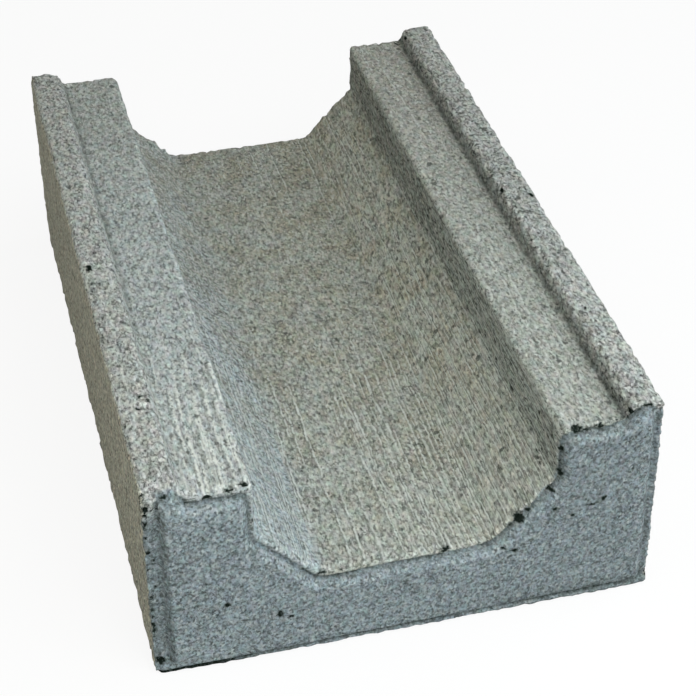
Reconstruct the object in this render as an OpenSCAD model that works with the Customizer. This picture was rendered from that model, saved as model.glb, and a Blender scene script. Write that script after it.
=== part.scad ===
// Concrete cable trough block.
// One dry-cast unit: a flat base, two side rails and an open channel for cables between them.
// Each rail carries a seat for a cover slab, held in place by a raised outer lip.
// X runs across the block, Y along the channel and Z up; the origin is under its centre.

/* [Block] */
// Overall width across both rails
block_w = 320; // [265:1:420]
// Overall height from the base to the top of the lips
block_h = 145; // [125:1:200]
// Length of the body, without the raised panel on its pressed end
body_l = 500; // [300:1:900]

/* [Rails] */
// Width of each rail, from its outer side to the channel
rail_w = 67; // [54:1:81]
// Width of the flat top of each lip
lip_top_w = 22; // [15:1:30]
// Run of the slanted inner side of each lip
lip_run = 4; // [2:0.5:8]
// Height of each lip above the cover seat
lip_h = 10; // [6:1:16]

/* [Channel] */
// Height of the upright wall below each cover seat
wall_h = 38; // [24:1:48]
// Width of the flat channel floor
floor_w = 108; // [80:1:132]
// Thickness of concrete under the channel floor
floor_t = 57; // [40:1:70]

/* [Rounded edges] */
// Radius of the long edges of the base
base_r = 2; // [0.5:0.5:6]
// Radius of the outer top edge of each lip
lip_outer_r = 3; // [0.5:0.5:5]
// Radius of the inner top edge of each lip
lip_inner_r = 4; // [0.5:0.5:8]
// Radius where each lip runs into its seat
lip_root_r = 4; // [0.5:0.5:8]
// Radius of the edge between each seat and the channel wall
seat_edge_r = 5; // [0.5:0.5:8]
// Radius where each upright wall meets the slope
wall_foot_r = 8; // [0.5:0.5:20]
// Radius where each slope meets the floor
floor_corner_r = 12; // [0.5:0.5:25]

/* [Pressed end] */
// How far the panel on the pressed end stands out
panel_proud = 5; // [2:0.5:10]
// Width of the bevel round the panel
panel_bevel = 7; // [3:0.5:12]
// Width of the flat rim between the bevel and the edge of the block
panel_rim = 2; // [1:0.5:4]

/* [Hidden] */
concrete_color = [0.56, 0.56, 0.53];
overall_l = body_l + panel_proud;
half_w = block_w / 2;
seat_z = block_h - lip_h;
wall_foot_z = seat_z - wall_h;
channel_half_w = half_w - rail_w;
// Straight steps in each rounded corner
arc_steps = 6;
// How far a cutting shape runs past the surface that it cuts
overcut = 1;

// Right half of the cross-section, from the base up and over to the floor: [x, z, radius]
half_outline = [
    [half_w, 0, base_r],
    [half_w, block_h, lip_outer_r],
    [half_w - lip_top_w, block_h, lip_inner_r],
    [half_w - lip_top_w - lip_run, seat_z, lip_root_r],
    [channel_half_w, seat_z, seat_edge_r],
    [channel_half_w, wall_foot_z, wall_foot_r],
    [floor_w / 2, floor_t, floor_corner_r]
];
half_count = len(half_outline);
mirrored_half = [for (i = [half_count - 1:-1:0])
    [-half_outline[i][0], half_outline[i][1], half_outline[i][2]]];
outline = concat(half_outline, mirrored_half);
corner_count = len(outline);

function corner(i) = let (c = outline[(i + corner_count) % corner_count]) [c[0], c[1]];
function unit(v) = v / norm(v);
function heading(v) = atan2(v[1], v[0]);

// Signed turn of the outline at corner i, in degrees: above zero where the concrete juts out
function turn_at(i) =
    let (a = unit(corner(i) - corner(i - 1)), b = unit(corner(i + 1) - corner(i)))
    atan2(a[0] * b[1] - a[1] * b[0], a * b);

// Points of the arc that rounds corner i
function arc_at(i) =
    let (
        turn = turn_at(i),
        side = sign(turn),
        r = outline[i][2],
        a = unit(corner(i) - corner(i - 1)),
        start = corner(i) - a * r * tan(abs(turn) / 2),
        centre = start + side * r * [-a[1], a[0]],
        first = heading(start - centre)
    )
    [for (k = [0:arc_steps]) let (angle = first + turn * k / arc_steps)
        centre + r * [cos(angle), sin(angle)]];

module cross_section() {
    polygon([for (i = [0:corner_count - 1]) each arc_at(i)]);
}

// Section through the rim and bevel: distance in from an edge against depth behind the panel
module bevel_section() {
    slope = panel_bevel / panel_proud;
    polygon([
        [-overcut, -overcut],
        [panel_rim + panel_bevel + overcut * slope, -overcut],
        [panel_rim, panel_proud],
        [-overcut, panel_proud]
    ]);
}

// Cuts the rim and bevel along the edge from corner i, run on past each end by the lengths given
module edge_cut(i, before, after) {
    along = corner(i + 1) - corner(i);
    translate(corner(i) - before * unit(along))
        rotate(heading(along))
            rotate([90, 0, 90])
                linear_extrude(before + norm(along) + after)
                    bevel_section();
}

// Carries the bevel round the inside corner i, where the bevels of its two edges mitre
module inside_corner_cut(i) {
    reach = 2 * (panel_rim + panel_bevel + overcut);
    intersection() {
        edge_cut(i - 1, -overcut, reach);
        edge_cut(i, reach, -overcut);
    }
}

// Everything that is cut away round the raised panel
module panel_cuts() {
    for (i = [0:corner_count - 1]) edge_cut(i, 0, 0);
    for (i = [0:corner_count - 1]) if (turn_at(i) < 0) inside_corner_cut(i);
}

// The block on its pressed end, turned down so that its base lies on the ground
module trough_block() {
    color(concrete_color)
        translate([0, -overall_l / 2, 0])
            rotate([90, 0, 0])
                mirror([0, 0, 1])
                    difference() {
                        linear_extrude(overall_l) cross_section();
                        panel_cuts();
                    }
}

trough_block();
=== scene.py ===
import math
from types import SimpleNamespace

import bmesh
import bpy
import numpy as np
from mathutils import Matrix, Vector


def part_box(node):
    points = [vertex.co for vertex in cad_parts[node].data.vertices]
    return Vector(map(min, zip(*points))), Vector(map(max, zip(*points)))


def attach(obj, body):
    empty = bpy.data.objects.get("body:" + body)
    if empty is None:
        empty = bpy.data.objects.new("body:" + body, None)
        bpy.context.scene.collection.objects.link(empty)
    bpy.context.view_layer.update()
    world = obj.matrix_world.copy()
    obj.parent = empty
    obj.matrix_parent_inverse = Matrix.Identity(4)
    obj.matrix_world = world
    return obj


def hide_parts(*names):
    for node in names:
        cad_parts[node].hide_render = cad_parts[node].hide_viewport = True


# Lengths in the dictionaries are millimetres, and mm turns them into the scene's metres.
mm = 0.001

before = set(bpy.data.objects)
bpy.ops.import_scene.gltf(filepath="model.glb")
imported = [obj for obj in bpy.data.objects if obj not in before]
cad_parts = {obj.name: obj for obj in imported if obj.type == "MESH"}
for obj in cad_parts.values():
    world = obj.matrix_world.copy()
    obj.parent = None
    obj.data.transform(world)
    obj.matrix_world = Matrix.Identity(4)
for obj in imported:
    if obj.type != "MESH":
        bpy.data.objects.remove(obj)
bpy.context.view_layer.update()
lowCorner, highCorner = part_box("trough_block")
halfWidth = highCorner.x / mm
topHeight = highCorner.z / mm
panelY = lowCorner.y / mm     # the pressed panel's face
plainY = highCorner.y / mm    # the plain end's face
print("part loaded")


# soft noise and scattered balls, for everything that is uneven

def hashCells(cells, seed):
    # a number from 0 to 1 for each cell, always the same one for the same cell and seed
    mask = 0xFFFFFFFF
    h = cells[..., 0] * 374761393 + cells[..., 1] * 668265263 + cells[..., 2] * 1440662683
    h = (h + seed * 974711) & mask
    h = ((h ^ (h >> 13)) * 1274126177) & mask
    h = ((h ^ (h >> 15)) * 1103515245) & mask
    return ((h ^ (h >> 16)) & 0xFFFFFF) / float(0xFFFFFF)


def softNoise(points, size, seed, octaves=1):
    # between -1 and 1; size is how far one lump reaches, in each direction or in all
    total, gain, reach = 0.0, 1.0, 0.0
    for octave in range(octaves):
        scaled = points / np.asarray(size, float) * 2 ** octave + seed * 7.31
        cell = np.floor(scaled).astype(np.int64)
        f = scaled - cell
        f = f * f * (3 - 2 * f)
        value = 0.0
        for dx in (0, 1):
            for dy in (0, 1):
                for dz in (0, 1):
                    weight = np.abs(1 - dx - f[:, 0]) * np.abs(1 - dy - f[:, 1]) * np.abs(1 - dz - f[:, 2])
                    value = value + weight * hashCells(cell + np.array([dx, dy, dz]), seed + 31 * octave)
        total = total + gain * (2 * value - 1)
        reach += gain
        gain *= 0.5
    return total / reach


def scatterDents(points, spacing, radius, share, seed, squash=(1, 1, 1)):
    # one ball in each cell of a grid, some left out; 1 at a ball's middle and 0 outside it
    scaled = points / spacing
    cell = np.floor(scaled).astype(np.int64)
    best = np.zeros(len(points))
    for dx in (-1, 0, 1):
        for dy in (-1, 0, 1):
            for dz in (-1, 0, 1):
                near = cell + np.array([dx, dy, dz])
                centre = near + np.stack([hashCells(near, seed + k) for k in (1, 2, 3)], 1)
                size = radius[0] + (radius[1] - radius[0]) * hashCells(near, seed + 4) ** 2
                away = np.linalg.norm((scaled - centre) * spacing / np.asarray(squash, float), axis=1)
                dent = np.clip(1 - (away / size) ** 2, 0, 1) * (size / radius[1])
                best = np.maximum(best, np.where(hashCells(near, seed + 5) < share, dent, 0))
    return best


def ease(value, start, end):
    t = np.clip((value - start) / (end - start), 0, 1)
    return t * t * (3 - 2 * t)


def bell(value, middle, width):
    return np.exp(-((value - middle) / width) ** 2)


# the casting as it left the mould, before wear

casting = {
    "railWidth": 67, "lipTopWidth": 22, "lipRun": 4, "lipHeight": 10,
    "wallHeight": 38, "floorWidth": 108, "floorThickness": 57,
    "baseRadius": 1.5, "lipOuterRadius": 3, "lipInnerRadius": 3, "lipRootRadius": 1.5,
    "seatEdgeRadius": 4, "wallFootRadius": 8, "floorCornerRadius": 12,
    "borderDepth": 5,          # from the panel's face back to the border round it
    "grainSize": 1.0,          # size of the cells that the surface is first made of
    "triangles": 198000,
}

borderY = panelY + casting["borderDepth"]
seatZ = topHeight - casting["lipHeight"]
rootX = halfWidth - casting["lipTopWidth"] - casting["lipRun"]
channelX = halfWidth - casting["railWidth"]


def halfSection():
    c = casting
    return [
        (halfWidth, 0, c["baseRadius"]),
        (halfWidth, topHeight, c["lipOuterRadius"]),
        (halfWidth - c["lipTopWidth"], topHeight, c["lipInnerRadius"]),
        (rootX, seatZ, c["lipRootRadius"]),
        (channelX, seatZ, c["seatEdgeRadius"]),
        (channelX, seatZ - c["wallHeight"], c["wallFootRadius"]),
        (c["floorWidth"] / 2, c["floorThickness"], c["floorCornerRadius"]),
    ]


def allCorners():
    half = halfSection()
    return half + [(-x, z, r) for x, z, r in reversed(half)]


def roundedSection(steps=6):
    corners = allCorners()
    outline = []
    for i, (x, z, r) in enumerate(corners):
        before = Vector(corners[i - 1][:2])
        here = Vector((x, z))
        after = Vector(corners[(i + 1) % len(corners)][:2])
        a, b = (here - before).normalized(), (after - here).normalized()
        turn = math.atan2(a.x * b.y - a.y * b.x, a.dot(b))
        start = here - a * r * math.tan(abs(turn) / 2)
        centre = start + math.copysign(r, turn) * Vector((-a.y, a.x))
        first = math.atan2(start.y - centre.y, start.x - centre.x)
        for k in range(steps + 1):
            angle = first + turn * k / steps
            outline.append((centre.x + r * math.cos(angle), centre.y + r * math.sin(angle)))
    return np.array(outline)


def depthInside(points, outline):
    # distance from each (x, z) to the outline, above zero inside it
    nearest = np.full(len(points), 1e9)
    inside = np.zeros(len(points), bool)
    for a, b in zip(outline, np.roll(outline, -1, axis=0)):
        along = b - a
        if along @ along < 1e-12:
            continue
        t = np.clip(((points - a) @ along) / (along @ along), 0, 1)
        nearest = np.minimum(nearest, np.linalg.norm(points - a - t[:, None] * along, axis=1))
        crosses = (a[1] > points[:, 1]) != (b[1] > points[:, 1])
        if crosses.any():
            at = a[0] + (points[crosses, 1] - a[1]) * (b[0] - a[0]) / (b[1] - a[1])
            inside[crosses] ^= points[crosses, 0] < at
    return np.where(inside, nearest, -nearest)


section = roundedSection()


def plainCasting():
    mesh = bmesh.new()
    ends = [[mesh.verts.new((x * mm, y * mm, z * mm)) for x, z in section] for y in (borderY, plainY)]
    count = len(section)
    for i in range(count):
        j = (i + 1) % count
        mesh.faces.new((ends[0][i], ends[0][j], ends[1][j], ends[1][i]))
    mesh.faces.new(ends[0])
    mesh.faces.new(list(reversed(ends[1])))
    bmesh.ops.recalc_face_normals(mesh, faces=mesh.faces)
    data = bpy.data.meshes.new("concrete_trough")
    mesh.to_mesh(data)
    mesh.free()
    piece = bpy.data.objects.new("concrete_trough", data)
    bpy.context.scene.collection.objects.link(piece)
    return piece


def applyModifiers(piece):
    view = bpy.context.evaluated_depsgraph_get()
    done = bpy.data.meshes.new_from_object(piece.evaluated_get(view))
    piece.modifiers.clear()
    old = piece.data
    piece.data = done
    bpy.data.meshes.remove(old)


def readPoints(data, field="co"):
    values = np.zeros(len(data.vertices) * 3)
    data.vertices.foreach_get(field, values)
    return values.reshape(-1, 3)


trough = plainCasting()
remesh = trough.modifiers.new("cells", "REMESH")
remesh.mode = "VOXEL"
remesh.voxel_size = casting["grainSize"] * mm * 1
applyModifiers(trough)
print("casting made:", len(trough.data.vertices), "points")


# the end that the shoe pressed: a raised panel, its bevel, and the rim left round it

pressedEnd = {
    "rim": 5.0, "bevel": 5.0, "proud": 4.5,
    # how far the shoe's edge sat from the casting's, across and up, at places across the block
    "fitAcross": ((-160, 4), (-93, 1), (93, -3.2), (160, 0)),
    "fitUp": ((-93, -1.7), (0, 0.3), (93, 1.3)),
    "cornerRound": 5.5,
    "wander": 0.6,
    "creaseDepth": 2.0, "creaseWidth": 1.5,
    "burr": 2.2, "burrWidth": 2.6,          # flash left standing along the left edge
    "lumps": 1.5, "teeth": 1.6,
    "skirt": (0.6, 3.4), "skirtStart": -128,   # height at each side, and where it starts
    "groove": 2.4,
}


def shoeOutline():
    outline = np.array([(x, z) for x, z, radius in allCorners()])
    across, up = np.array(pressedEnd["fitAcross"]), np.array(pressedEnd["fitUp"])
    outline[:, 1] += np.interp(outline[:, 0], up[:, 0], up[:, 1])
    outline[:, 0] += np.interp(outline[:, 0], across[:, 0], across[:, 1])
    outline[outline[:, 1] < 20, 1] -= 14    # the shoe runs past the foot, so it leaves no rim there
    return outline


shoeEdge = shoeOutline()


def endPoints(across, up):
    # points on the end's plane, for the noise; up may be one height for all of them
    return np.column_stack([across, np.zeros(len(across)), np.broadcast_to(up, len(across))])


def shoeDepth(xz):
    # how far inside the shoe's edge each point of the end lies; the mean over a ring rounds its corners
    flat = endPoints(xz[:, 0], xz[:, 1])
    depth = 0.2 * depthInside(xz, shoeEdge)
    for angle in np.radians(range(0, 360, 45)):
        step = pressedEnd["cornerRound"] * np.array([math.cos(angle), math.sin(angle)])
        depth += 0.1 * depthInside(xz + step, shoeEdge)
    onSeats = ease(xz[:, 1], 117, 127) * (1 - ease(np.abs(xz[:, 0]), 140, 148))
    wander = softNoise(flat, 9, 3, 2) + 2.2 * onSeats * softNoise(flat, 5, 4, 2)
    return depth + pressedEnd["wander"] * wander


def footSkirt(xz):
    # the thin ragged flash along the foot, and how far each point stands above its top
    p = pressedEnd
    flat = endPoints(xz[:, 0], 0)
    share = (xz[:, 0] + halfWidth) / (2 * halfWidth)
    top = p["skirt"][0] + (p["skirt"][1] - p["skirt"][0]) * share + 0.7 * softNoise(flat, 7, 21, 3)
    along = ease(xz[:, 0], p["skirtStart"], p["skirtStart"] + 12)
    return (1 - ease(xz[:, 1], top - 0.4, top + 0.3)) * along, xz[:, 1] - top


def sideTeeth(points):
    # small bites up the end's side edges
    return np.clip(0.1 + 2.2 * softNoise(points, (400, 400, 2.8), 17, 2), 0, 1)


def pressEnd(points, onEnd):
    p = pressedEnd
    xz = points[onEnd][:, [0, 2]]
    flat = endPoints(xz[:, 0], xz[:, 1])
    inShoe = shoeDepth(xz)
    inBody = depthInside(xz, section)
    lumps = softNoise(flat, 4.0, 11, 3)
    slope = np.clip((inShoe - p["rim"]) / p["bevel"], 0, 1)
    rise = 0.5 * slope + 0.5 * ease(slope, 0, 1)
    forward = p["proud"] * rise
    forward -= p["creaseDepth"] * bell(inShoe, p["rim"] - 0.2, p["creaseWidth"]) * (0.75 + 0.5 * lumps)
    forward += (1 - rise) * p["lumps"] * lumps
    forward += 0.16 * rise * softNoise(flat, 16, 5, 2) + 0.22 * rise * softNoise(flat, 3.2, 6, 2)
    leftEdge = ease(-xz[:, 0], halfWidth - 7, halfWidth - 4)
    forward += p["burr"] * bell(inBody, 0.8, p["burrWidth"]) * leftEdge * np.clip(0.6 + 1.4 * lumps, 0, 1.5)
    rightEdge = ease(xz[:, 0], halfWidth - 8, halfWidth - 5)
    forward -= p["teeth"] * bell(inBody, 0, 3.0) * rightEdge * sideTeeth(points[onEnd])
    leftFoot = (1 - ease(xz[:, 1], 1.5, 7)) * (1 - ease(xz[:, 0], -142, -126))
    forward = forward * (1 - leftFoot) + leftFoot * (4.0 + 0.8 * lumps)
    skirt, above = footSkirt(xz)
    forward = forward * (1 - skirt) + skirt * (4.6 + 1.2 * softNoise(flat, 4.5, 23, 2))
    forward -= p["groove"] * bell(above, 0.9, 0.8) * (1 - skirt)
    points[onEnd, 1] -= forward


# wear: rounded and broken edges, drag lines, open grain, pits and chips

wear = {
    "waviness": 0.35,
    "edgeWear": 1.3, "edgeReach": 5, "crumbling": 2.4,
    "frontRound": (1.3, 4.4), "backRound": (1.6, 2.6),   # smallest and largest radius
    "ragged": 2.0, "tornEnd": 1.3, "rollLumps": 2.6, "bites": 3.0,
    "dragDepth": 0.8, "dragReach": 150,
    "ridgeHeight": 0.55,
    "creaseCut": 1.0,
    "openGrain": 0.42, "outsideGrain": 0.5,
    "pitDepth": 1.4, "holeDepth": 2.6, "lipPitDepth": 1.1,
    "lean": 0.8,                   # the right side leans in at the pressed end
    # places where the concrete broke away: middle, and how far it reaches each way
    "chips": [
        ((137, -248.5, 146), (5, 5, 2.5)), ((-12, -250, 59), (4, 5, 2.5)),
        ((-143.7, -168, 148), (5, 10, 6)), ((-121, 60, 137), (4, 5, 4)),
        ((-150, -205, 147), (4, 6, 4)), ((-139, -221, 147), (4, 5, 4)), ((-152, 86, 147), (4, 6, 4)),
        ((162, 250, 147), (7, 12, 4)), ((138, 254, 147), (5, 5, 5)), ((-92, 254, 137), (5, 6, 4)),
        ((162, -252, -1), (6, 8, 6)), ((153, 18, 146.3), (1.8, 4, 2.4)), ((142, 33, 146), (1.8, 4, 2.4)),
        ((140, -16, 145.5), (2.4, 6, 2.4)), ((148, 60, 146.3), (1.8, 5, 2.2)),
    ],
    # deeper ones, open, with painted shade inside
    "darkHoles": [
        # up the pressed end's right: the floor's corner, the slope, the wall, the seat and the lip
        ((67.5, -247.5, 73), (5.2, 6, 3.6)), ((75, -249, 77), (2.2, 5, 1.6)), ((81, -250, 85), (3, 5, 0.9)),
        ((86.7, -248.5, 90.8), (4, 5, 1.6)), ((93, -248.5, 102.5), (2.4, 5, 3.4)),
        ((94, -250, 111), (1.2, 6, 1.6)), ((94, -250, 120.5), (1.4, 6, 2.4)),
        ((104, -247.5, 135.5), (4, 4, 3)), ((119, -249, 134), (3, 5, 1.2)),
        ((130, -249.5, 136), (5, 5.5, 1.6)), ((136, -248.5, 141), (2.2, 6, 2.0)),
        ((146, -250, 144.5), (6, 5, 1.5)),
        # along the floor's edge
        ((24, -250, 57.5), (4.2, 5.5, 2.4)), ((-42, -250, 57.5), (2.6, 5, 1.8)),
        ((-54, -250, 57), (3.2, 5, 1.8)),
        # the left rail's outer edge, its lip and its seat
        ((-157.5, -250, 8.5), (3.4, 5, 3)), ((-159, -250, 97), (2, 4, 2.6)),
        ((-157.5, -250, 131), (2, 4, 2.5)), ((-150, -250, 138.5), (4, 5, 1.2)),
        ((-158.5, -250, 120), (1.6, 3, 2)), ((-144.5, -249, 137), (3.6, 5, 1.4)),
        ((-152, -251, 129), (3, 4, 1.1)), ((-156, -249, 133.5), (1.8, 4, 0.9)),
        ((-153.5, -248, 140), (2.2, 4, 0.9)), ((-121, -250, 131.5), (3.4, 5, 1.3)),
        ((-108, -249, 134.5), (3.4, 5, 1.5)), ((-99, -245, 135.5), (3.4, 3, 1.4)),
        # in the panel's face
        ((91, -254, 78.3), (2.8, 2.6, 1.2)), ((115.5, -254, 76.2), (3, 2.6, 0.9)),
        ((123.3, -254, 80), (2, 2.6, 2)), ((67, -254, 49.5), (3, 2.6, 1.6)), ((104, -254, 70), (2, 2.4, 1.6)),
        ((-81.5, -254, 33), (2.6, 2.6, 3)), ((-75, -254, 29), (2.4, 2.6, 1.6)),
        ((-113.5, -254, 48), (2.4, 2.4, 2)),
        # on top of the lips
        ((-154.4, -18.6, 146.5), (2.1, 4, 2.8)), ((156.5, -9, 146), (1.6, 3.4, 2)),
        ((138.5, 4, 143.5), (1.4, 3.6, 2)), ((-146.5, -172, 145.5), (2.2, 2, 2.5)),
        ((-143.5, -161.5, 145.8), (3.2, 1.2, 1.5)), ((-140, -166, 145.5), (1, 2.5, 1.5)),
        # round the plain end
        ((-137, 251, 138), (2, 3, 2.4)), ((-143, 250, 146), (2, 3, 1.5)), ((-70, 250, 79), (2.6, 3, 1.4)),
        ((-80, 251, 86), (2.4, 3, 1.2)), ((-60, 251, 67), (2, 3, 1.2)), ((132, 248, 136), (2, 5, 1.4)),
        ((137, 243, 141), (1.6, 3, 1.6)),
        # small ones up the pressed end's left edge, and two by the floor's right corner
        ((-158, -249, 126), (1.6, 3, 1.8)), ((-155, -250, 137), (2, 4, 1)), ((-159, -250, 109), (1.4, 3, 2)),
        ((-159, -250, 84), (1.4, 3, 1.8)), ((-159, -250, 62), (1.4, 3, 1.5)), ((-159, -250, 40), (1.4, 3, 2)),
        ((60, -252.5, 52), (3, 2.6, 1.2)), ((62, -252, 60), (2, 3, 1.2)),
    ],
    # lumps left standing: middle, reach and height
    "stone": ((-143.7, -167, 142), 5.0, 3.6),   # in the left lip's pit
    "crumbs": [((-69, 249, 73), 9, 2.6), ((-60, 250, 63), 3.5, 2.2), ((-14, 251, 57), 3, 2.2),
               ((91, 251, 112), 3.5, 2.2), ((91, 251, 125), 3, 2.2), ((-133, 250, 137), 4, 2.2)],
}


def rollEdge(points, endY, inwardY, smallest, largest, seed, lump, unevenness):
    # the edge between an end and the sides, rounded to a radius that varies
    near = np.abs(points[:, 1] - endY) < 8
    p = points[near]
    xz = p[:, [0, 2]]
    depth = np.clip(depthInside(xz, section), 0, None)
    fromEnd = np.clip((p[:, 1] - endY) * inwardY, 0, None)
    step = 0.4
    toInside = np.stack([
        depthInside(xz + np.array([step, 0]), section) - depthInside(xz - np.array([step, 0]), section),
        depthInside(xz + np.array([0, step]), section) - depthInside(xz - np.array([0, step]), section)], 1)
    toInside /= np.linalg.norm(toInside, axis=1, keepdims=True) + 1e-9
    upper = ease(xz[:, 1], 30, 55) * (1 - ease(np.abs(xz[:, 0]), halfWidth - 7, halfWidth - 1))
    radius = smallest + (largest - smallest) * upper
    radius = np.maximum(radius * (1 + unevenness * softNoise(p, (lump, 30, lump), seed, 2)), 0.3)
    a, b = radius - fromEnd, radius - depth
    length = np.hypot(a, b) + 1e-9
    over = (a > 0) & (b > 0) & (length > radius)
    scale = np.where(over, radius / length, 1)
    points[near, 1] += inwardY * np.where(over, a * (1 - scale), 0)
    moved = np.where(over, b * (1 - scale), 0)[:, None] * toInside
    points[near, 0] += moved[:, 0]
    points[near, 2] += moved[:, 1]


def dragRidges(points):
    # thin ridges that run along the block, where a stretched noise passes through zero
    ridge = np.zeros(len(points))
    for size, seed in ((5.0, 71), (8.0, 83)):
        value = softNoise(points, (size, 150, size), seed)
        gate = softNoise(points, (9, 60, 9), seed + 1)
        ridge = np.maximum(ridge, np.clip(1 - np.abs(value) / (0.42 / size), 0, 1) * ease(gate, -0.1, 0.25))
    return ridge


def placesOnBlock(points, normals, onEnd):
    # which faces each point is on, as shares from 0 to 1, and how far it lies from both ends
    x, y, z = points.T
    at = SimpleNamespace(points=points, normals=normals, onEnd=onEnd, x=x, z=z)
    at.foot = ease(z, 0.5, 4.0)          # nothing at the base, which stays flat
    at.outer = ease(np.abs(x), halfWidth - 4, halfWidth - 1.5) * ease(np.abs(normals[:, 0]), 0.6, 0.9)
    under = ease(-normals[:, 2], 0.3, 0.7)
    at.inner = (1 - at.outer) * (1 - under) * ~onEnd
    at.fromPressed = np.clip(y - borderY, 0, None)
    at.fromPlain = np.clip(plainY - y, 0, None)
    at.fade = np.exp(-at.fromPressed / wear["dragReach"])
    return at


# each of the next four adds to how far the points move inward

def wearLongEdges(at, inward):
    # edges that stand out are rubbed and nibbled, and the right lip has crumbled most
    nibble = softNoise(at.points, (3.6, 5.5, 3.6), 2, 3)
    bitten = softNoise(at.points, (8, 7, 8), 7, 2)
    corners = ((halfWidth, topHeight, 1.3), (halfWidth - casting["lipTopWidth"], topHeight, 1.2),
               (channelX, seatZ, 0.7), (halfWidth, 0, 1.6))
    for cornerX, cornerZ, share in corners:
        near = bell(np.hypot(np.abs(at.x) - cornerX, at.z - cornerZ), 0, wear["edgeReach"])
        inward += near * share * wear["edgeWear"] * np.clip(0.2 + 1.1 * nibble + 0.8 * bitten, 0, 1.6)
    rightLip = bell(np.hypot(at.x - rootX - 4, at.z - topHeight), 0, 4.5)
    inward += rightLip * wear["crumbling"] * ease(softNoise(at.points, (5, 8, 5), 4, 2), 0.05, 0.45)
    root = bell(np.hypot(np.abs(at.x) - rootX, at.z - seatZ), 0, 2.2)
    inward += root * wear["creaseCut"] * (0.8 + 0.6 * nibble) * np.where(at.x > 0, 1, 0.45)


def wearEnds(at, inward):
    # both ends are ragged where the mould let go
    lumps = np.clip(0.2 + 1.3 * softNoise(at.points, (3.6, 3.4, 3.6), 5, 3), 0, 1.5)
    inward += at.foot * wear["ragged"] * bell(at.fromPressed, 0, 3.0) * lumps * ~at.onEnd
    torn = np.clip(0.3 + 1.9 * softNoise(at.points, (2.6, 5, 2.6), 10, 2), -0.2, 1.6)
    torn *= bell(at.fromPlain, 0, 4.0)
    inward += at.foot * wear["tornEnd"] * torn * (np.abs(at.normals[:, 1]) < 0.85)
    inward += at.foot * wear["bites"] * at.outer * bell(at.fromPressed, 0, 2.6) * sideTeeth(at.points)
    roll = bell(at.fromPressed, 2.5, 4.0) * ease(at.normals[:, 2], 0.1, 0.5) * (at.z < topHeight - 4)
    inward -= wear["rollLumps"] * roll * np.clip(softNoise(at.points, 3.0, 9, 2), -0.6, 1) * ~at.onEnd


def dragAlong(at, inward):
    # furrows and ridges run along the block, deepest near the pressed end
    furrows = np.clip(0.3 + 1.2 * softNoise(at.points, (4.2, 95, 4.2), 8, 2), 0, 1.3)
    inward += at.inner * at.fade * wear["dragDepth"] * furrows
    reach = at.inner * (0.25 + 0.9 * at.fade) * ease(at.fade, 0.03, 0.2)
    inward -= reach * wear["ridgeHeight"] * dragRidges(at.points)


def openGrain(at, inward):
    # the grain opens further back, with pits and holes all over
    grain = softNoise(at.points, (3.4, 4.6, 3.4), 12, 2)
    inward += at.inner * (1 - 0.6 * at.fade) * wear["openGrain"] * (0.5 + grain)
    outsideGrain = softNoise(at.points, (4.5, 5, 4.5), 14, 2)
    inward += at.outer * at.foot * wear["outsideGrain"] * (0.5 + outsideGrain)
    pits = scatterDents(at.points, 8.5, (1.3, 3.0), 0.5, 40, (1, 1.25, 1))
    holes = scatterDents(at.points, 27, (2.3, 4.6), 0.35, 60, (1, 1.3, 1))
    amount = (0.7 * at.inner + 0.4 * at.outer + 0.35 * at.onEnd) * at.foot
    inward += amount * (wear["pitDepth"] * pits + wear["holeDepth"] * holes)
    lipTop = at.inner * ease(np.abs(at.x), rootX, rootX + 4) * ease(at.z, seatZ + 5, topHeight - 1)
    inward += lipTop * wear["lipPitDepth"] * scatterDents(at.points, 5.5, (1.2, 2.6), 0.45, 90)


def wearSurface(points, normals, onEnd):
    at = placesOnBlock(points, normals, onEnd)
    inward = at.foot * wear["waviness"] * (0.6 + softNoise(points, 42, 1, 2))
    wearLongEdges(at, inward)
    wearEnds(at, inward)
    dragAlong(at, inward)
    openGrain(at, inward)
    points -= normals * inward[:, None]


def breakCorner(points, place, facing, rough, seed):
    # everything past a rough plane is gone
    facing = np.array(facing) / np.linalg.norm(facing)
    past = (points - np.array(place)) @ facing + rough * softNoise(points, 5, seed, 3)
    side = (points[:, 0] < -rootX - 1) & (points[:, 1] < borderY + 20)
    past = np.where(side, np.clip(past, 0, None), 0)
    points -= past[:, None] * facing


def chipAway(points, normals, middle, reach, seed):
    # what lies in a ball with a rough edge is pushed into the body, to the ball's far side
    away = (points - np.array(middle)) / np.array(reach)
    near = np.linalg.norm(away, axis=1) < 1.5
    if not near.any():
        return
    away = away[near]
    edge = 1 + 0.3 * softNoise(points[near], 0.5 * min(reach) + 1, seed, 2)
    facing = normals[near].mean(axis=0)
    facing /= np.linalg.norm(facing)
    push = facing / np.array(reach)
    along = away @ push
    left = along ** 2 - (push @ push) * (np.sum(away ** 2, axis=1) - edge ** 2)
    inside = np.sum(away ** 2, axis=1) < edge ** 2
    travel = np.where(inside, (along + np.sqrt(np.clip(left, 0, None))) / (push @ push), 0)
    points[near] -= travel[:, None] * facing


def leanRight(points):
    # the right side leans in at the pressed end
    fromPressed = np.clip(points[:, 1] - borderY, 0, None)
    lean = wear["lean"] * np.clip(points[:, 2] / topHeight, 0, 1) * bell(fromPressed, 0, 45)
    points[:, 0] -= lean * ease(points[:, 0], 120, halfWidth)


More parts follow.
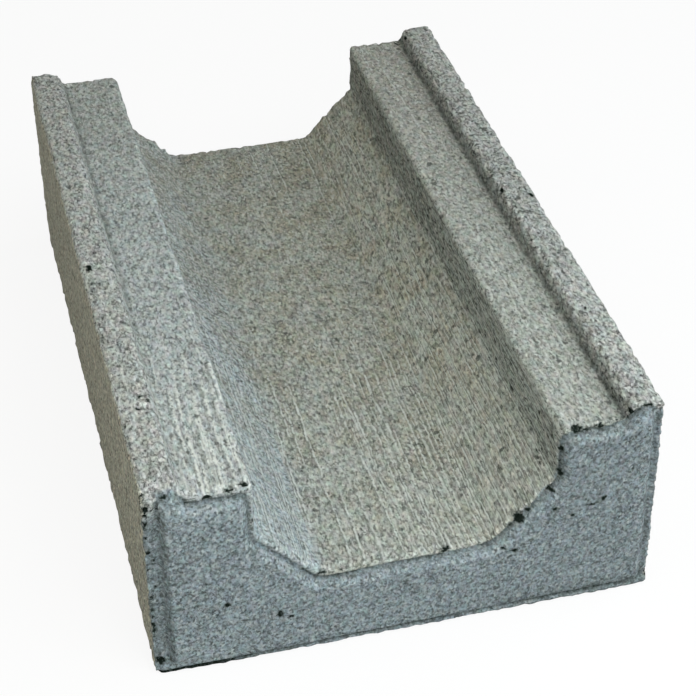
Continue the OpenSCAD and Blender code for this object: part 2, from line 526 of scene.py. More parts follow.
points = readPoints(trough.data) / mm
normals = readPoints(trough.data, "normal")
pressedFace = (normals[:, 1] < -0.6) & (points[:, 1] < borderY + 1)
plainFace = (normals[:, 1] > 0.6) & (points[:, 1] > plainY - 1)
rollEdge(points, borderY, 1, *wear["frontRound"], 101, 7, 0.45)
rollEdge(points, plainY, -1, *wear["backRound"], 102, 3.0, 1.4)
wearSurface(points, normals, pressedFace | plainFace)
pressEnd(points, pressedFace)
breakCorner(points, (-148, -242.4, 139), (0.07, -0.75, 0.66), 2.6, 120)
for number, (middle, reach) in enumerate(wear["chips"] + wear["darkHoles"]):
    chipAway(points, normals, middle, reach, 200 + number)
for middle, reach, height in [wear["stone"]] + wear["crumbs"]:
    lift = np.clip(1 - np.linalg.norm(points - np.array(middle), axis=1) / reach, 0, 1)
    points += normals * (height * lift)[:, None]
leanRight(points)
points = np.clip(points, np.array(lowCorner) / mm, np.array(highCorner) / mm)
trough.data.vertices.foreach_set("co", (points * mm).ravel())
trough.data.update()
print("surface worn")


def thinFaces(piece, points, normals):
    # fewer faces, with the most kept where the relief is finest: round the panel, then near it
    fromPressed = points[:, 1] - borderY
    plainer = 0.62 + 0.13 * ease(fromPressed, 60, 300)
    plainer[np.abs(normals[:, 0]) * (np.abs(points[:, 0]) > halfWidth - 4) > 0.6] = 0.86
    plainer[(normals[:, 2] < -0.6) | plainFace] = 0.9
    plainer[pressedFace] = 0.7
    plainer[(points[:, 1] > plainY - 5) & (points[:, 2] > 40) & ~plainFace] = 0.4
    band = (fromPressed < 6) & ~pressedFace & (points[:, 2] > 0.4) & (normals[:, 2] > -0.6)
    band[pressedFace] = shoeDepth(points[pressedFace][:, [0, 2]]) < 12
    for middle, reach in wear["darkHoles"]:
        band |= np.linalg.norm((points - np.array(middle)) / (np.array(reach) + 1.5), axis=1) < 1
    plainer[band] = 0.2
    weights = piece.vertex_groups.new(name="plainer")
    steps = np.round(plainer, 2)
    for level in np.unique(steps):
        weights.add([int(i) for i in np.nonzero(steps == level)[0]], float(level), "REPLACE")
    cut = piece.modifiers.new("fewer faces", "DECIMATE")
    cut.vertex_group = weights.name
    cut.ratio = min(1.0, casting["triangles"] / (2 * len(piece.data.polygons)) * (1))
    applyModifiers(piece)
    piece.vertex_groups.clear()
    inBox = np.clip(readPoints(piece.data), np.array(lowCorner), np.array(highCorner))
    piece.data.vertices.foreach_set("co", inBox.ravel())
    piece.data.shade_smooth()


thinFaces(trough, points, normals)
print("casting finished:", len(trough.data.polygons), "faces")


# what the finish needs to know about each point: whether the shoe pressed it, where shade is painted and
# grime lies, where a highlight is painted, and how hollow it is

def spread(values, starts, ends):
    # the mean of each point's neighbours
    count = len(values)
    total = np.bincount(starts, values[ends], count) + np.bincount(ends, values[starts], count)
    return total / np.maximum(np.bincount(starts, minlength=count) + np.bincount(ends, minlength=count), 1)


def hollowness(data, points, normals):
    # how far each point lies below its neighbours
    pairs = np.zeros(len(data.edges) * 2, np.int32)
    data.edges.foreach_get("vertices", pairs)
    starts, ends = pairs[::2], pairs[1::2]
    around = np.stack([spread(points[:, k], starts, ends) for k in range(3)], 1)
    hollow = np.sum((around - points) * normals, axis=1)
    return 0.5 * hollow + 0.5 * spread(hollow, starts, ends)


def spotty(points):
    return np.clip(1 + 1.1 * softNoise(points, 2.6, 50, 2), 0.3, 2)


def creaseShade(points, inShoe, leftSide, rightSide):
    # painted shade in the crease round the panel, in the crack on its right, and on the bevel's two sides
    x, z = points[:, 0], points[:, 2]
    rim = pressedEnd["rim"]
    crease = bell(inShoe, rim - 0.2, 1.4) * (1 - 0.6 * leftSide - 0.75 * rightSide) * ease(z, 8, 14)
    crease *= np.clip(0.95 + 0.7 * softNoise(points, 5, 48, 2), 0.5, 1.5)
    crack = bell(inShoe, rim - 1.5, 1.0) * ease(x, 93, 98) * (1 - rightSide * (z < 130))
    crack *= np.clip(0.5 + 1.8 * softNoise(points, 5, 49, 2), 0, 1.1)
    bevel = ease(inShoe, rim - 0.5, rim + 1) * (1 - ease(inShoe, rim + 3.5, rim + 5.5))
    bevel *= np.maximum(0.23 * leftSide, 0.05 * rightSide)
    return np.max([0.62 * crease, crack, bevel * spotty(points)], axis=0)


def darkerAtFoot(xz):
    # painted shadow in the groove along the flash at the foot; faintly darker above it on the right, and dark
    # at the very bottom on the left
    x, z = xz.T
    start = pressedEnd["skirtStart"]
    shadeAndDirt = 0.9 * bell(footSkirt(xz)[1], 0.9, 0.9) * ease(x, start, start + 12)
    shadeAndDirt = np.maximum(shadeAndDirt, 0.35 * (1 - ease(z, 4, 16)) * ease(x, 40, 90))
    return np.maximum(shadeAndDirt, 0.95 * (1 - ease(z, 1.5, 3.0)) * (1 - ease(x, -118, -90)))


def panelCrack(xz):
    # a fine crack across the panel, below the right seat
    x, z = xz.T
    flat = endPoints(x, 0)
    crack = bell(z - 77 - 3 * softNoise(flat, 6, 51, 2), 0, 0.8) * ease(x, 87, 90)
    return crack * (1 - ease(x, 122, 125)) * np.clip(0.35 + 1.8 * softNoise(flat, 4, 52, 2), 0, 0.9)


def rimSpecks(points, inShoe):
    specks = scatterDents(points, 4.2, (0.9, 1.9), 0.5, 130, (1.3, 1, 1))
    return np.clip(specks * (1.7 * bell(inShoe, 1.8, 1.8) * ease(points[:, 2], 50, 55)), 0, 1)


def endMarks(points, normals):
    # at the pressed end: what the shoe pressed, the painted shade and dark marks, and the painted highlights
    p = pressedEnd
    xz = points[:, [0, 2]]
    x, z = xz.T
    inShoe = shoeDepth(xz)
    forward = ease(-normals[:, 1], 0.1, 0.5)
    leftSide, rightSide = ease(-x, 140, 146), ease(x, 146, 152)
    leftRim = ease(-x, 150, 152) * (1 - ease(z, 118, 130))
    rightRim = ease(x, 149, 151.5) * (1 - ease(z, 136, 141))
    foot = 1 - ease(z, 6, 10)
    panel = ease(inShoe, p["rim"] - 1.6, p["rim"] - 0.2)
    pressed = forward * np.max([panel, leftRim, rightRim, foot], axis=0)

    rims = forward * (0.22 * leftRim + 0.05 * rightRim) * spotty(points)
    crease = creaseShade(points, inShoe, leftSide, rightSide)
    # painted shade in the creases and at the foot, with darker rims, the fine crack and dark specks
    grime = np.max([crease, darkerAtFoot(xz), rims, panelCrack(xz)], axis=0) * (points[:, 1] < borderY + 3)
    leftEdge = bell(halfWidth + x, 1.5, 2.8) * sideTeeth(points)
    grime = np.max([grime, rimSpecks(points, inShoe), np.clip(1.1 * leftEdge * forward, 0, 1)], axis=0)

    # a painted highlight along the bevel's top edge, and a lighter band on the panel below the left seat
    bevelTop = bell(inShoe, p["rim"] + p["bevel"] - 0.4, 1.3) * (1 - leftSide) * ease(z, 10, 20)
    underSeat = bell(x, -120, 22) * bell(z, 120, 6)
    return pressed, grime, 0.4 * np.maximum(bevelTop, underSeat) * forward


def holeShade(points, normals):
    # painted shade right across each open hole, as wide as the hole reaches
    shadeAndDirt = np.zeros(len(points))
    uneven = 0.5 * softNoise(points, 1.8, 47, 2)
    for middle, reach in wear["darkHoles"]:
        away = (points - np.array(middle)) / np.array(reach)
        near = np.linalg.norm(away, axis=1) < 1.5
        if near.any():
            facing = normals[near].mean(axis=0) / np.array(reach)
            facing /= np.linalg.norm(facing)
            aside = away[near] - np.outer(away[near] @ facing, facing)
            dark = 1 - ease(np.linalg.norm(aside, axis=1) + uneven[near], 0.7, 1.1)
            shadeAndDirt[near] = np.maximum(shadeAndDirt[near], dark)
    return shadeAndDirt


def rootShade(points):
    # painted shade in a line along the foot of the right lip
    line = bell(np.hypot(points[:, 0] - rootX - 0.6, points[:, 2] - seatZ - 0.6), 0, 1.9)
    return line * np.clip(0.50 + 0.5 * softNoise(points, (4, 14, 4), 46, 2), 0, 1)


def seatHighlight(points):
    # a painted highlight along the left seat's inner edge
    edge = bell(np.hypot(points[:, 0] + channelX + 1, points[:, 2] - seatZ + 1), 0, 1.8)
    return 0.7 * edge * ease(softNoise(points, (6, 26, 6), 44, 2), -0.5, 0.3)


def markSurface(data):
    points = readPoints(data) / mm
    normals = readPoints(data, "normal")
    front = points[:, 1] < borderY + 5
    pressed, grime, rubbed = np.zeros((3, len(points)))
    pressed[front], grime[front], rubbed[front] = endMarks(points[front], normals[front])
    grime = np.max([grime, holeShade(points, normals), rootShade(points)], axis=0)
    stone, size = wear["stone"][:2]
    onStone = bell(np.linalg.norm(points - np.array(stone) - (0, 0, 1.5), axis=1), 0, 0.8 * size)
    rubbed = np.max([rubbed, seatHighlight(points), 1.5 * onStone], axis=0)
    hollow = hollowness(data, points, normals) - 0.3 * onStone
    for name, values in (("pressed", pressed), ("grime", grime), ("rubbed", rubbed), ("hollow", hollow)):
        data.attributes.new(name, "FLOAT", "POINT").data.foreach_set("value", values)


markSurface(trough.data)
print("surface marked")


# the finish: sand and cement, seen bare

concrete = {
    "paste": (0.345, 0.368, 0.335),       # cement skin between the grains
    "olive": (0.305, 0.300, 0.235),       # weathered patches in the channel
    "pressed": (0.228, 0.273, 0.288),     # the panel under the shoe
    "outside": (0.415, 0.410, 0.335),     # outer walls
    "paleGrain": (0.66, 0.70, 0.66),
    "pinkGrain": (0.46, 0.36, 0.38),
    "pore": (0.045, 0.052, 0.045),
    "drawn": (0.66, 0.70, 0.66),          # pale drag lines: polished skin, with a painted highlight along each ridge
    "furrowShadow": (0.13, 0.14, 0.12),         # painted shadow in the furrow beside each ridge
    "shadeAndDirt": (0.050, 0.062, 0.054),        # painted shade in creases and hollows, and dark grime
    "shadeInHoles": (0.010, 0.015, 0.012),        # painted shade inside the open holes
    # what the colour is multiplied by in each place
    "tints": {
        "leftSide": (1.00, 1.035, 1.135), "leftSlope": (0.99, 1.04, 1.085), "leftSeat": (1.09, 1.07, 1.05),
        "rightSlope": (1.12, 1.11, 1.10), "rightSeatBack": (0.985, 0.955, 0.95),
        "farEnd": (0.93, 0.92, 0.91), "lips": (1.01, 0.995, 1.035),
    },
    # how fine each pattern is: a larger number is finer
    "grainScale": 700, "fineScale": 560, "poreScale": 430, "castScale": 230,
    "coarseScale": 170, "spotScale": 75.0, "patchScale": 34, "wideScale": 11,
    "roughness": 0.93, "bumpStrength": 0.35, "bumpDepth": 0.4,
}


def addNode(tree, kind, settings=None, inputs=None):
    node = tree.nodes.new(kind)
    for key, value in (settings or {}).items():
        setattr(node, key, value)
    for key, value in (inputs or {}).items():
        if isinstance(value, bpy.types.NodeSocket):
            tree.links.new(value, node.inputs[key])
        else:
            node.inputs[key].default_value = value
    return node


def stretched(tree, where, scale):
    return addNode(tree, "ShaderNodeMapping", inputs={"Vector": where, "Scale": scale}).outputs[0]


def noiseOf(tree, where, scale, detail=2.0, rough=0.5, output="Fac"):
    node = addNode(tree, "ShaderNodeTexNoise", inputs={
        "Vector": where, "Scale": scale, "Detail": detail, "Roughness": rough})
    return node.outputs[output]


def channelsOf(tree, colour):
    return addNode(tree, "ShaderNodeSeparateColor", inputs={"Color": colour}).outputs


def rangeOf(tree, value, low, high, toLow=0.0, toHigh=1.0, how="LINEAR"):
    return addNode(tree, "ShaderNodeMapRange", {"interpolation_type": how},
                   {0: value, 1: low, 2: high, 3: toLow, 4: toHigh}).outputs[0]


def mathOf(tree, how, a, b=0.0):
    return addNode(tree, "ShaderNodeMath", {"operation": how}, {0: a, 1: b}).outputs[0]


def productOf(tree, *values):
    result = values[0]
    for value in values[1:]:
        result = mathOf(tree, "MULTIPLY", result, value)
    return result


def sumOf(tree, *values):
    result = values[0]
    for value in values[1:]:
        result = mathOf(tree, "ADD", result, value)
    return result


def mixOf(tree, amount, a, b, how="MIX"):
    node = addNode(tree, "ShaderNodeMix", {"data_type": "RGBA", "blend_type": how})
    for index, value in ((0, amount), (6, a), (7, b)):
        if isinstance(value, bpy.types.NodeSocket):
            tree.links.new(value, node.inputs[index])
        else:
            node.inputs[index].default_value = value if index == 0 else (*value, 1.0)
    return node.outputs[2]


def greyOf(tree, value):
    return addNode(tree, "ShaderNodeCombineColor", inputs={0: value, 1: value, 2: value}).outputs[0]


def tinted(tree, amount, colour, tint):
    # the colour times a tint, as far as the amount goes
    return mixOf(tree, amount, colour, mixOf(tree, 1.0, colour, tint, "MULTIPLY"))


def stepOf(tree, length, low, high, toLow=0.0, toHigh=1.0, how="LINEAR"):
    # the same as rangeOf, for a length and two places in millimetres
    return rangeOf(tree, length, low * mm, high * mm, toLow, toHigh, how)


def behindOf(tree, at, low, high, toLow=0.0, toHigh=1.0, how="LINEAR"):
    # the same again, with both places measured back from the border round the panel
    return stepOf(tree, at.y, borderY + low, borderY + high, toLow, toHigh, how)


def dragLines(tree, across, along, cellWidth, cellLength, halfLine, offset, uneven, fades=0.35):
    # one straight ridge in each long cell, with a furrow along one side of it; the finish paints the ridge
    # paler, partly as highlight, and the furrow darker, as painted shadow
    spot = addNode(tree, "ShaderNodeCombineXYZ", inputs={
        0: sumOf(tree, mathOf(tree, "DIVIDE", across, cellWidth * mm), offset),
        1: mathOf(tree, "DIVIDE", along, cellLength * mm)}).outputs[0]
    cells = addNode(tree, "ShaderNodeTexVoronoi", {"voronoi_dimensions": "2D"},
                    {"Vector": spot, "Scale": 1.0})
    apart = addNode(tree, "ShaderNodeVectorMath", {"operation": "SUBTRACT"},
                    {0: cells.outputs["Position"], 1: spot}).outputs[0]
    aside, ahead = addNode(tree, "ShaderNodeSeparateXYZ", inputs={0: apart}).outputs[:2]
    half = halfLine / cellWidth
    aside = sumOf(tree, aside, rangeOf(tree, uneven, 0.3, 0.7, -0.8 * half, 0.8 * half))
    thinner = rangeOf(tree, uneven, 0.35, 0.65, 0.5 * half, -0.3 * half)
    line = rangeOf(tree, sumOf(tree, mathOf(tree, "ABSOLUTE", aside), thinner), half, half * 0.2)
    fromFurrow = mathOf(tree, "ABSOLUTE", mathOf(tree, "ADD", aside, 1.7 * half))
    beside = rangeOf(tree, fromFurrow, half, half * 0.4)
    reach = rangeOf(tree, mathOf(tree, "ABSOLUTE", ahead), fades + 0.2, fades)
    kind = channelsOf(tree, cells.outputs["Color"])[0]
    return productOf(tree, line, reach), productOf(tree, beside, reach), kind


def placesInFinish(tree):
    # where on the block a point is: its coordinates, its marks, and shares from 0 to 1
    at = SimpleNamespace()
    at.where = addNode(tree, "ShaderNodeTexCoord").outputs["Object"]
    at.x, at.y, at.z = addNode(tree, "ShaderNodeSeparateXYZ", inputs={0: at.where}).outputs
    at.across = mathOf(tree, "ABSOLUTE", at.x)
    at.facingUp = addNode(tree, "ShaderNodeSeparateXYZ", inputs={
        0: addNode(tree, "ShaderNodeTexCoord").outputs["Normal"]}).outputs[2]
    for name in ("pressed", "grime", "rubbed", "hollow"):
        mark = addNode(tree, "ShaderNodeAttribute", {"attribute_name": name})
        setattr(at, name, mark.outputs["Fac"])
    at.unpressed = mathOf(tree, "SUBTRACT", 1.0, at.pressed)
    at.outside = productOf(tree, stepOf(tree, at.across, halfWidth - 3.0, halfWidth - 1.8),
                           stepOf(tree, at.z, topHeight - 1.5, topHeight - 4),
                           rangeOf(tree, at.pressed, 0.3, 0.1))
    at.lined = mathOf(tree, "SUBTRACT", 1.0, mathOf(tree, "MAXIMUM", at.pressed, at.outside))
    at.behindBorder = behindOf(tree, at, -1, 3)
    at.nearPressed = behindOf(tree, at, 300, 10, how="SMOOTHSTEP")
    at.toRight = stepOf(tree, at.x, -60, 100, how="SMOOTHSTEP")
    at.within = productOf(tree, stepOf(tree, at.across, halfWidth - 1.6, halfWidth - 1.8),
                          behindOf(tree, at, 0, 0.2))
    # the slopes and the walls above them, on both sides and on each
    floorX = casting["floorWidth"] / 2
    at.sloping = productOf(tree, at.within, stepOf(tree, at.across, floorX - 0.2, floorX),
                           stepOf(tree, at.across, channelX + 1.2, channelX + 1),
                           stepOf(tree, at.z, seatZ - 2.2, seatZ - 2.4))
    at.leftSloping = productOf(tree, at.sloping, mathOf(tree, "LESS_THAN", at.x, 0))
    at.rightSloping = productOf(tree, at.sloping, mathOf(tree, "GREATER_THAN", at.x, 0))
    at.onSeat = productOf(tree, stepOf(tree, at.z, seatZ - 4, seatZ - 2),
                          stepOf(tree, at.across, rootX, rootX - 4))
    at.leftSeat = productOf(tree, at.onSeat, stepOf(tree, at.x, 1, -1))
    return at


def sandGrains(tree, at):
    # behind the pressed end and inside the outer walls, the grains are drawn out along the block
    drawnOut = stretched(tree, at.where, (1, 0.95, 0.85))
    for mask, scale in ((at.within, (1, 0.55, 1)), (at.leftSloping, (0.95, 0.85, 0.95)),
                        (at.rightSloping, (1, 0.42, 1))):
        drawnOut = addNode(tree, "ShaderNodeMix", {"data_type": "VECTOR"}, {
            0: mask, 4: drawnOut, 5: stretched(tree, at.where, scale)}).outputs[1]
    cells = addNode(tree, "ShaderNodeTexVoronoi", inputs={
        "Vector": drawnOut, "Scale": concrete["grainScale"]})
    shade, hue, kind = channelsOf(tree, cells.outputs["Color"])[:3]
    return SimpleNamespace(
        drawnOut=drawnOut, shade=shade, hue=hue, kind=kind,
        fine=noiseOf(tree, drawnOut, concrete["fineScale"], 3, 0.7),
        coarse=noiseOf(tree, drawnOut, concrete["coarseScale"], 2, 0.6),
        cast=noiseOf(tree, drawnOut, concrete["castScale"], 1, 0.5, "Color"))


def baseColour(tree, at):
    # olive patches in the channel, most on its right, then the pressed panel and the outer walls
    patch = noiseOf(tree, at.where, concrete["patchScale"], 2, 0.5)
    patchy = sumOf(tree, rangeOf(tree, patch, 0.40, 0.62, 0, 0.8), productOf(tree, at.toRight, 0.15))
    inChannel = stepOf(tree, at.across, channelX + 2, channelX - 3, how="SMOOTHSTEP")
    olive = productOf(tree, patchy, inChannel, behindOf(tree, at, 20, 150, 0.3, 0.8))
    colour = mixOf(tree, olive, concrete["paste"], concrete["olive"])
    colour = mixOf(tree, at.pressed, colour, concrete["pressed"])
    return mixOf(tree, at.outside, colour, concrete["outside"])


def grainTone(tree, at, grain):
    # how light each grain is beside its neighbours, and how strongly that shows in each place
    upright = rangeOf(tree, at.facingUp, 0.8, 0.1, 0, 0.55)
    rightSeat = productOf(tree, stepOf(tree, at.x, 95, 98), stepOf(tree, at.x, 132, 128))
    contrast = sumOf(tree, behindOf(tree, at, 420, 20, 0.84, 1.02),
                     productOf(tree, upright, at.unpressed, stepOf(tree, at.x, -20, 20, 0.1, 1.2)),
                     productOf(tree, at.leftSloping, behindOf(tree, at, 100, 170, 0, 0.33)),
                     stepOf(tree, at.z, seatZ + 4, seatZ + 8, 0, 0.26),
                     productOf(tree, at.pressed, 0.02), productOf(tree, at.outside, 0.3),
                     productOf(tree, rightSeat, -0.13))
    wide = noiseOf(tree, at.where, concrete["wideScale"], 2, 0.5)
    deviation = sumOf(tree, rangeOf(tree, wide, 0.3, 0.7, -0.04, 0.04),
                      rangeOf(tree, grain.coarse, 0.3, 0.7, -0.16, 0.16),
                      rangeOf(tree, grain.fine, 0.3, 0.7, -0.50, 0.50),
                      rangeOf(tree, grain.shade, 0, 1, -0.36, 0.36))
    overall = sumOf(tree, 0.97, productOf(tree, at.pressed, at.toRight, -0.10),
                    productOf(tree, at.unpressed, 0.03))
    return productOf(tree, sumOf(tree, 1.0, productOf(tree, deviation, contrast)), overall)


def placeTints(tree, at, grain, colour):
    # the left slope and its seat are a little bluer, most near the pressed end, and the back is darker:
    # partly painted falloff of the light, partly duller concrete
    places = {
        "leftSide": productOf(tree, stepOf(tree, at.x, -45, -58), at.lined, stepOf(tree, at.x, -137, -130),
                              behindOf(tree, at, 450, 150, 0.4, 1.0)),
        "rightSlope": productOf(tree, stepOf(tree, at.x, 50, 58), stepOf(tree, at.x, 94, 88), at.lined,
                                behindOf(tree, at, 20, 150, 0.7, 1)),
        "leftSlope": productOf(tree, at.leftSloping, at.nearPressed,
                               rangeOf(tree, grain.coarse, 0.35, 0.65, 0.4, 1.6)),
        "rightSeatBack": productOf(tree, stepOf(tree, at.x, 93, 97), stepOf(tree, at.x, 136, 132),
                                   behindOf(tree, at, 200, 350)),
        "farEnd": productOf(tree, behindOf(tree, at, 330, 430), at.lined),
        "lips": productOf(tree, stepOf(tree, at.across, rootX, rootX + 4), at.lined),
    }
    for name, place in places.items():
        colour = tinted(tree, place, colour, concrete["tints"][name])
    return colour


def grainColours(tree, at, grain, colour):
    # a faint pink, green or blue cast from one grain to the next, with a few pink and a few pale ones
    red, green, blue = channelsOf(tree, grain.cast)[:3]
    cast = addNode(tree, "ShaderNodeCombineColor", inputs={
        0: rangeOf(tree, red, 0.3, 0.7, 0.93, 1.07), 1: rangeOf(tree, green, 0.3, 0.7, 0.97, 1.03),
        2: rangeOf(tree, blue, 0.3, 0.7, 0.95, 1.05)}).outputs[0]
    colour = mixOf(tree, 1.0, colour, cast, "MULTIPLY")
    colour = mixOf(tree, rangeOf(tree, grain.hue, 0.8, 1.0, 0, 0.12), colour, concrete["pinkGrain"])
    palest = productOf(tree, rangeOf(tree, grain.kind, 0.88, 0.94, 0, 0.42),
                       rangeOf(tree, at.pressed, 0, 1, 1, 0.6))
    return mixOf(tree, palest, colour, concrete["paleGrain"])


def dragMarks(tree, at):
    # ridges and furrows along the block, thick and thin, dying out away from the pressed end
    uneven = noiseOf(tree, at.where, concrete["coarseScale"], 2, 0.6)
    sway = rangeOf(tree, noiseOf(tree, at.where, 14, 1), 0.3, 0.7, -1.4 * mm, 1.4 * mm)
    # the section laid out flat, with the two sides apart, so that lines run on from floor to seat
    unrolled = sumOf(tree, at.across, mathOf(tree, "MINIMUM", at.z, (seatZ - 4) * mm),
                     mathOf(tree, "MULTIPLY", mathOf(tree, "SIGN", at.x), 0.37), sway)
    belowSeat = stepOf(tree, at.z, seatZ - 2, seatZ - 5)
    # each group of lines, its strength, where it is, and how likely a line of it shows
    groups = (
        (dragLines(tree, unrolled, at.y, 9.0, 125, 0.85, 0.0, uneven), 1.0,
         sumOf(tree, belowSeat, productOf(tree, at.onSeat, 0.6)),
         sumOf(tree, productOf(tree, at.nearPressed, 1.15), stepOf(tree, at.x, 20, 50, 0, 0.3), -0.45)),
        (dragLines(tree, unrolled, at.y, 5.2, 95, 0.66, 40.5, uneven, 0.5), 1.0,
         productOf(tree, belowSeat, stepOf(tree, at.x, -30, 20)), sumOf(tree, at.nearPressed, -0.2)),
        (dragLines(tree, unrolled, at.y, 14.0, 110, 1.5, 23.5, uneven, 0.5), 0.8,
         at.leftSloping, sumOf(tree, at.nearPressed, -0.3)),
        (dragLines(tree, unrolled, at.y, 5.0, 62, 1.25, 11.5, uneven, 0.6), 1.0,
         at.leftSeat, behindOf(tree, at, 150, 40, -0.45, 0.65)))
    broken = rangeOf(tree, noiseOf(tree, stretched(tree, at.where, (1, 0.2, 1)), 150, 3, 0.65), 0.28, 0.48)
    ridges, furrows = 0.0, 0.0
    for (line, beside, kind), strength, place, likely in groups:
        shown = productOf(tree, rangeOf(tree, sumOf(tree, kind, likely), 0.5, 0.7, 0, strength), place,
                          broken, at.lined, at.behindBorder)
        ridges = mathOf(tree, "MAXIMUM", ridges, productOf(tree, line, shown))
        furrows = mathOf(tree, "MAXIMUM", furrows, productOf(tree, beside, shown))
    return ridges, furrows


def openPores(tree, at, grain):
    # pores between the grains, fewer where the slopes are smeared
    pores = noiseOf(tree, grain.drawnOut, concrete["poreScale"], 1.5, 0.6)
    pores = sumOf(tree, pores, productOf(tree, at.pressed, -0.035))
    onWall = productOf(tree, at.sloping, stepOf(tree, at.z, 90, 100))
    smeared = sumOf(tree, productOf(tree, at.nearPressed, 0.35), productOf(tree, onWall, 0.35))
    closed = productOf(tree, at.sloping, smeared)
    pore = productOf(tree, rangeOf(tree, pores, 0.40, 0.34), mathOf(tree, "SUBTRACT", 1.0, closed))
    # the odd open hole
    wobble = addNode(tree, "ShaderNodeVectorMath", {"operation": "MULTIPLY_ADD"}, {
        0: noiseOf(tree, at.where, 420, 1, 0.5, "Color"), 1: (0.004, 0.004, 0.004), 2: at.where}).outputs[0]
    spots = addNode(tree, "ShaderNodeTexVoronoi", inputs={"Vector": wobble, "Scale": concrete["spotScale"]})
    spotKind, spotSize = channelsOf(tree, spots.outputs["Color"])[:2]
    spotEdge = rangeOf(tree, spotSize, 0, 1, 0.06, 0.17)
    insideEdge = mathOf(tree, "SUBTRACT", spotEdge, spots.outputs["Distance"])
    spot = productOf(tree, rangeOf(tree, insideEdge, -0.03, 0.03), rangeOf(tree, spotKind, 0.5, 0.55))
    # the right lip is the most open, past half way along
    crumbled = productOf(tree, stepOf(tree, at.x, rootX + 1, rootX + 4), at.lined,
                         behindOf(tree, at, 140, 250), behindOf(tree, at, 450, 330, 0.3, 1))
    lipPore = productOf(tree, rangeOf(tree, noiseOf(tree, at.where, 260, 1, 0.5), 0.38, 0.32), crumbled)
    opened = mathOf(tree, "MAXIMUM", productOf(tree, pore, 0.58), productOf(tree, spot, 0.75))
    return mathOf(tree, "MAXIMUM", opened, productOf(tree, lipPore, 0.85))


def placeShading(tree, at):
    # painted shade by the right lip's root, on the lip's inner face and on the channel's walls; painted
    # highlights on raised points and edges; lighter towards the pressed end, partly as painted falloff of the
    # light and partly as paler skin
    # the right lip's painted shadow on the seat beside it, and painted shade on the lip's inner face
    nearRoot = productOf(tree, stepOf(tree, at.x, rootX - 18, rootX),
                         stepOf(tree, at.x, rootX + 5, rootX + 3))
    rootFace = productOf(tree, stepOf(tree, at.x, rootX - 1.5, rootX),
                         stepOf(tree, at.x, rootX + 4.5, rootX + 3))
    # painted shade on the channel's walls
    channelWall = productOf(tree, rangeOf(tree, at.facingUp, 0.4, 0.1), stepOf(tree, at.z, 80, 100),
                            stepOf(tree, at.across, channelX + 3, channelX),
                            behindOf(tree, at, 60, 400, 0.9, 1.5))
    shaded = sumOf(tree, 1.0, productOf(tree, nearRoot, at.lined, -0.12),
                   productOf(tree, rootFace, at.lined, -0.22), productOf(tree, channelWall, at.lined, -0.18))
    # painted highlight on raised points and along the marked edges
    paintedHighlight = sumOf(tree, rangeOf(tree, at.hollow, -0.10, -0.40, 1.0, 1.15), productOf(tree, at.rubbed, 0.30))
    # lighter towards the pressed end: partly painted falloff of the light, partly paler skin
    return productOf(tree, paintedHighlight, behindOf(tree, at, 300, 0, 0.95, 1.09), shaded)


def concreteFinish():
    c = concrete
    material = bpy.data.materials.new("dry_cast_concrete")
    material.use_nodes = True
    tree = material.node_tree
    tree.nodes.clear()
    at = placesInFinish(tree)
    grain = sandGrains(tree, at)
    colour = baseColour(tree, at)
    colour = mixOf(tree, 1.0, colour, greyOf(tree, grainTone(tree, at, grain)), "MULTIPLY")
    colour = placeTints(tree, at, grain, colour)
    colour = grainColours(tree, at, grain, colour)

    ridges, furrows = dragMarks(tree, at)
    # the ridges are paler, polished skin with a painted highlight, and the furrows beside them hold a painted
    # shadow
    colour = mixOf(tree, productOf(tree, ridges, 0.72), colour, c["drawn"])
    colour = mixOf(tree, productOf(tree, furrows, 0.45), colour, c["furrowShadow"])
    paler = productOf(tree, at.leftSeat, at.nearPressed, at.behindBorder)
    colour = tinted(tree, paler, colour, c["tints"]["leftSeat"])
    opened = openPores(tree, at, grain)
    colour = mixOf(tree, opened, colour, c["pore"])

    # painted shade sits in the hollows and creases, with dark grime, and it is darkest inside the open holes
    grime = productOf(tree, at.grime, rangeOf(tree, grain.fine, 0.3, 0.7, 1.25, 0.75))
    shadeAndDirt = mathOf(tree, "MAXIMUM", grime, rangeOf(tree, at.hollow, 0.12, 0.55, 0, 0.72))
    colour = mixOf(tree, shadeAndDirt, colour, c["shadeAndDirt"])
    # painted shade, near black, inside the open holes and the deepest creases
    colour = mixOf(tree, rangeOf(tree, grime, 0.65, 0.95), colour, c["shadeInHoles"])
    colour = mixOf(tree, 1.0, colour, greyOf(tree, placeShading(tree, at)), "MULTIPLY")

    height = sumOf(tree, grain.fine, productOf(tree, grain.coarse, 0.6), productOf(tree, ridges, 0.6),
                   productOf(tree, opened, -0.8))
    bump = addNode(tree, "ShaderNodeBump", inputs={
        "Height": height, "Strength": c["bumpStrength"], "Distance": c["bumpDepth"] * mm})
    shader = addNode(tree, "ShaderNodeBsdfPrincipled", inputs={
        "Base Color": colour, "Roughness": c["roughness"],
        "Specular IOR Level": rangeOf(tree, grime, 0.4, 0.9, 0.25, 0), "Normal": bump.outputs[0]})
    addNode(tree, "ShaderNodeOutputMaterial", inputs={"Surface": shader.outputs[0]})
    return material


trough.data.materials.clear()
trough.data.materials.append(concreteFinish())
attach(trough, "root")
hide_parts("trough_block")
print("finish added")


# floor, light and camera

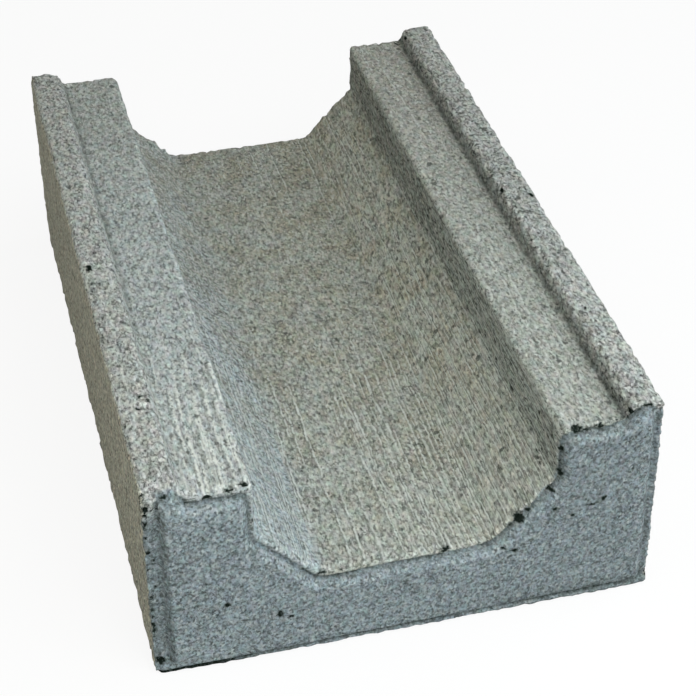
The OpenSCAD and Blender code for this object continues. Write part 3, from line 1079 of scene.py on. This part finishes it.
studio = {
    "ambient": 0.20, "ambientColour": (1.0, 0.99, 0.90),
    "floorGlow": 0.88,          # share of the floor's white that needs no light
    "lampSize": 1.4,
    # place, power and colour
    "lamps": {
        "top_lamp": ((0.25, -0.7, 1.9), 9.5, (1.0, 1.0, 0.97)),
        "key_lamp": ((0.9, -1.4, 1.2), 12.5, (0.94, 1.0, 1.05)),
        "front_lamp": ((-0.1, -1.8, 0.9), 14.5, (0.95, 1.0, 1.02)),
        "right_lamp": ((1.8, 0.0, 1.2), 12.0, (0.90, 1.0, 1.09)),
        "left_lamp": ((-1.4, -0.2, 1.6), 6.4, (1.0, 1.0, 0.88)),
    },
}


def seenDirectly(tree):
    path = addNode(tree, "ShaderNodeLightPath").outputs
    mirrored = mathOf(tree, "MAXIMUM", path["Is Glossy Ray"], path["Is Transmission Ray"])
    return mathOf(tree, "MAXIMUM", path["Is Camera Ray"], mirrored)


def whiteFloor():
    data = bpy.data.meshes.new("studio_floor")
    half, below = 6.0, -0.0005
    corners = [(-half, -half, below), (half, -half, below), (half, half, below), (-half, half, below)]
    data.from_pydata(corners, [], [(0, 1, 2, 3)])
    floor = bpy.data.objects.new("studio_floor", data)
    bpy.context.scene.collection.objects.link(floor)
    material = bpy.data.materials.new("studio_white")
    material.use_nodes = True
    tree = material.node_tree
    tree.nodes.clear()
    white = addNode(tree, "ShaderNodeBsdfDiffuse", inputs={"Color": (1, 1, 1, 1)}).outputs[0]
    glow = addNode(tree, "ShaderNodeEmission", inputs={"Color": (1, 1, 1, 1), "Strength": 1.0}).outputs[0]
    seen = addNode(tree, "ShaderNodeMixShader", inputs={
        0: studio["floorGlow"], 1: white, 2: glow}).outputs[0]
    lit = addNode(tree, "ShaderNodeBsdfDiffuse", inputs={"Color": (0.35, 0.34, 0.32, 1)}).outputs[0]
    mix = addNode(tree, "ShaderNodeMixShader", inputs={0: seenDirectly(tree), 1: lit, 2: seen})
    addNode(tree, "ShaderNodeOutputMaterial", inputs={"Surface": mix.outputs[0]})
    data.materials.append(material)


def softLamp(name, place, power, colour):
    lamp = bpy.data.lights.new(name, "AREA")
    lamp.shape = "SQUARE"
    lamp.size = studio["lampSize"]
    lamp.energy = power
    lamp.color = colour
    holder = bpy.data.objects.new(name, lamp)
    bpy.context.scene.collection.objects.link(holder)
    holder.location = place
    aim = Vector((0, -0.05, 0.08)) - Vector(place)
    holder.rotation_euler = aim.to_track_quat("-Z", "Y").to_euler()


def studioSky():
    world = bpy.data.worlds.new("studio")
    bpy.context.scene.world = world
    world.use_nodes = True
    tree = world.node_tree
    tree.nodes.clear()
    light = addNode(tree, "ShaderNodeBackground", inputs={
        "Color": (*studio["ambientColour"], 1), "Strength": studio["ambient"]}).outputs[0]
    seen = addNode(tree, "ShaderNodeBackground", inputs={"Color": (1, 1, 1, 1), "Strength": 1.0}).outputs[0]
    mix = addNode(tree, "ShaderNodeMixShader", inputs={0: seenDirectly(tree), 1: light, 2: seen})
    addNode(tree, "ShaderNodeOutputWorld", inputs={"Surface": mix.outputs[0]})


def placeCamera():
    camera = bpy.data.objects.new("camera", bpy.data.cameras.new("camera"))
    bpy.context.scene.collection.objects.link(camera)
    camera.data.lens = 98.567
    camera.data.sensor_width = 36
    ahead = Vector((0.19786, 0.77404, -0.60143)).normalized()
    upward = Vector((0.15597, 0.58088, 0.79890)).normalized()
    right = ahead.cross(upward).normalized()
    turn = Matrix((right, right.cross(ahead), -ahead)).transposed().to_4x4()
    camera.matrix_world = Matrix.Translation((-0.24513, -1.06229, 0.85569)) @ turn
    bpy.context.scene.camera = camera


whiteFloor()
studioSky()
for lampName, (lampPlace, lampPower, lampColour) in studio["lamps"].items():
    softLamp(lampName, lampPlace, lampPower, lampColour)
placeCamera()
bpy.context.scene.view_settings.view_transform = "Standard"
print("studio set")
